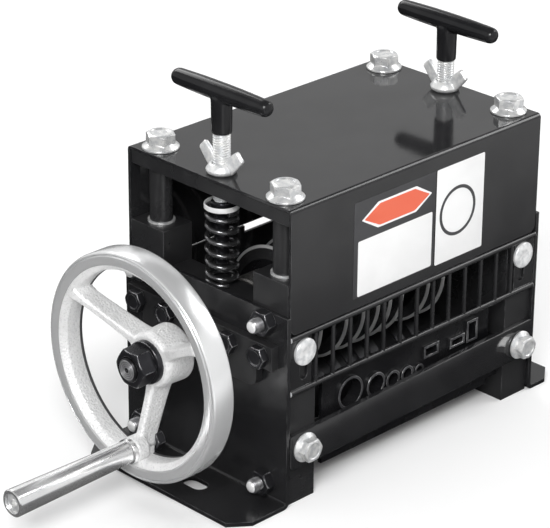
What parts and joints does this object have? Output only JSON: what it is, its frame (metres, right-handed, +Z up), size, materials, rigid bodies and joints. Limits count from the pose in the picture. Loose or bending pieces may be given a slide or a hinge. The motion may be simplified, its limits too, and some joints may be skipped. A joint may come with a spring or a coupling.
{
  "type": "manual wire stripping machine",
  "caption": "Hand-cranked bench machine that slits the insulation of electric wire between round blades and a grooved roller, with spring-loaded pressure screws on top.",
  "frame": {"origin": "on the floor under the middle of the cover, on the rest face of the base", "axes": "+X along the shafts, away from the handwheel; -Y towards the feed side; +Z up"},
  "size_m": [0.4493, 0.176, 0.2775],
  "materials": {
    "black_steel": "semi-gloss black",
    "black_gloss": "glossy black powder coat",
    "guard_steel": "dark drawn rod, bright cut ends",
    "zinc": "bright zinc plate",
    "black_oxide": "oiled black oxide",
    "spring_steel": "bright drawn wire",
    "black_plastic": "moulded, slightly glossy",
    "bronze": "turned bearing bronze",
    "blade_steel": "ground tool steel",
    "turned_steel": "turned steel",
    "wheel_alloy": "cast alloy, machined rim, rough spokes",
    "grip_chrome": "polished"
  },
  "bodies": {
    "frame": {"front_left_post": "black_steel", "front_right_post": "black_steel", "rear_left_post": "black_steel", "rear_right_post": "black_steel", "left_end_plate": "black_gloss", "right_end_plate": "black_gloss", "end_studs": "zinc", "end_nuts": "black_oxide", "bearing_keepers": "black_steel", "keeper_bolts": "black_oxide", "top_cover": "black_gloss", "top_plate": "black_steel", "post_spacers": "black_gloss", "spacer_washers": "zinc", "top_bolts": "zinc", "lower_blocks": "black_steel", "roller_bushes": "bronze", "feed_panel": "black_gloss", "panel_screws": "zinc", "front_guard": "guard_steel", "rear_guard": "black_gloss", "guard_bolts": "zinc", "front_lower_plate": "black_gloss", "rear_lower_plate": "black_gloss", "lower_plate_bolts": "zinc"},
    "cutter_head": {"left_bearing_block": "black_steel", "right_bearing_block": "black_steel", "shaft_bushes": "bronze", "left_spring": "spring_steel", "right_spring": "spring_steel"},
    "drive": {"blade_shaft": "turned_steel", "round_blade_1": "blade_steel", "round_blade_2": "blade_steel", "round_blade_3": "blade_steel", "round_blade_4": "blade_steel", "round_blade_5": "blade_steel", "round_blade_6": "blade_steel", "round_blade_7": "blade_steel", "round_blade_8": "blade_steel", "blade_spacers": "turned_steel", "clamp_collars": "turned_steel", "grub_screws": "black_oxide", "hand_wheel": "wheel_alloy", "wheel_key": "black_oxide", "wheel_washer": "black_oxide", "wheel_nut": "black_oxide", "crank_bolt": "zinc", "crank_collar": "black_oxide", "crank_nut": "black_oxide"},
    "grip": {"crank_grip": "grip_chrome"},
    "roller": {"roller_shaft": "turned_steel", "grooved_roller": "turned_steel"},
    "left_press": {"left_pressure_washer": "spring_steel"},
    "left_screw": {"left_pressure_screw": "zinc", "left_t_handle": "black_plastic"},
    "right_press": {"right_pressure_washer": "spring_steel"},
    "right_screw": {"right_pressure_screw": "zinc", "right_t_handle": "black_plastic"},
    "left_lock": {"left_wing_nut": "zinc"},
    "right_lock": {"right_wing_nut": "zinc"}
  },
  "joints": [
    {"name": "head_lift", "type": "slide", "parent": "frame", "child": "cutter_head", "axis": [0, 0, 1], "range_m": [0, 0.006], "deforming": ["left_spring", "right_spring"]},
    {"name": "drive_turn", "type": "hinge", "parent": "cutter_head", "child": "drive", "pos_m": [0, 0, 0.1], "axis": [1, 0, 0], "continuous": true},
    {"name": "grip_turn", "type": "hinge", "parent": "drive", "child": "grip", "pos_m": [-0.24, 0, 0.04], "axis": [1, 0, 0], "continuous": true},
    {"name": "roller_turn", "type": "hinge", "parent": "frame", "child": "roller", "pos_m": [0, 0, 0.029], "axis": [1, 0, 0], "continuous": true},
    {"name": "left_press_travel", "type": "slide", "parent": "frame", "child": "left_press", "axis": [0, 0, 1], "range_m": [-0.00701, 0.00751]},
    {"name": "left_screw_turn", "type": "hinge", "parent": "left_press", "child": "left_screw", "pos_m": [-0.109, 0, 0.215], "axis": [0, 0, 1], "range_deg": [-1440, 1542.86]},
    {"name": "left_lock_turn", "type": "hinge", "parent": "frame", "child": "left_lock", "pos_m": [-0.109, 0, 0.215], "axis": [0, 0, 1], "range_deg": [0, 180]},
    {"name": "right_press_travel", "type": "slide", "parent": "frame", "child": "right_press", "axis": [0, 0, 1], "range_m": [-0.00151, 0.01301]},
    {"name": "right_screw_turn", "type": "hinge", "parent": "right_press", "child": "right_screw", "pos_m": [0.109, 0, 0.215], "axis": [0, 0, 1], "range_deg": [-308.57, 2674.29]},
    {"name": "right_lock_turn", "type": "hinge", "parent": "frame", "child": "right_lock", "pos_m": [0.109, 0, 0.215], "axis": [0, 0, 1], "range_deg": [0, 180]}
  ],
  "couplings": [
    {"joint": "left_press_travel", "follows": "left_screw_turn", "m_per_rad": 0.00027852},
    {"joint": "right_press_travel", "follows": "right_screw_turn", "m_per_rad": 0.00027852}
  ]
}
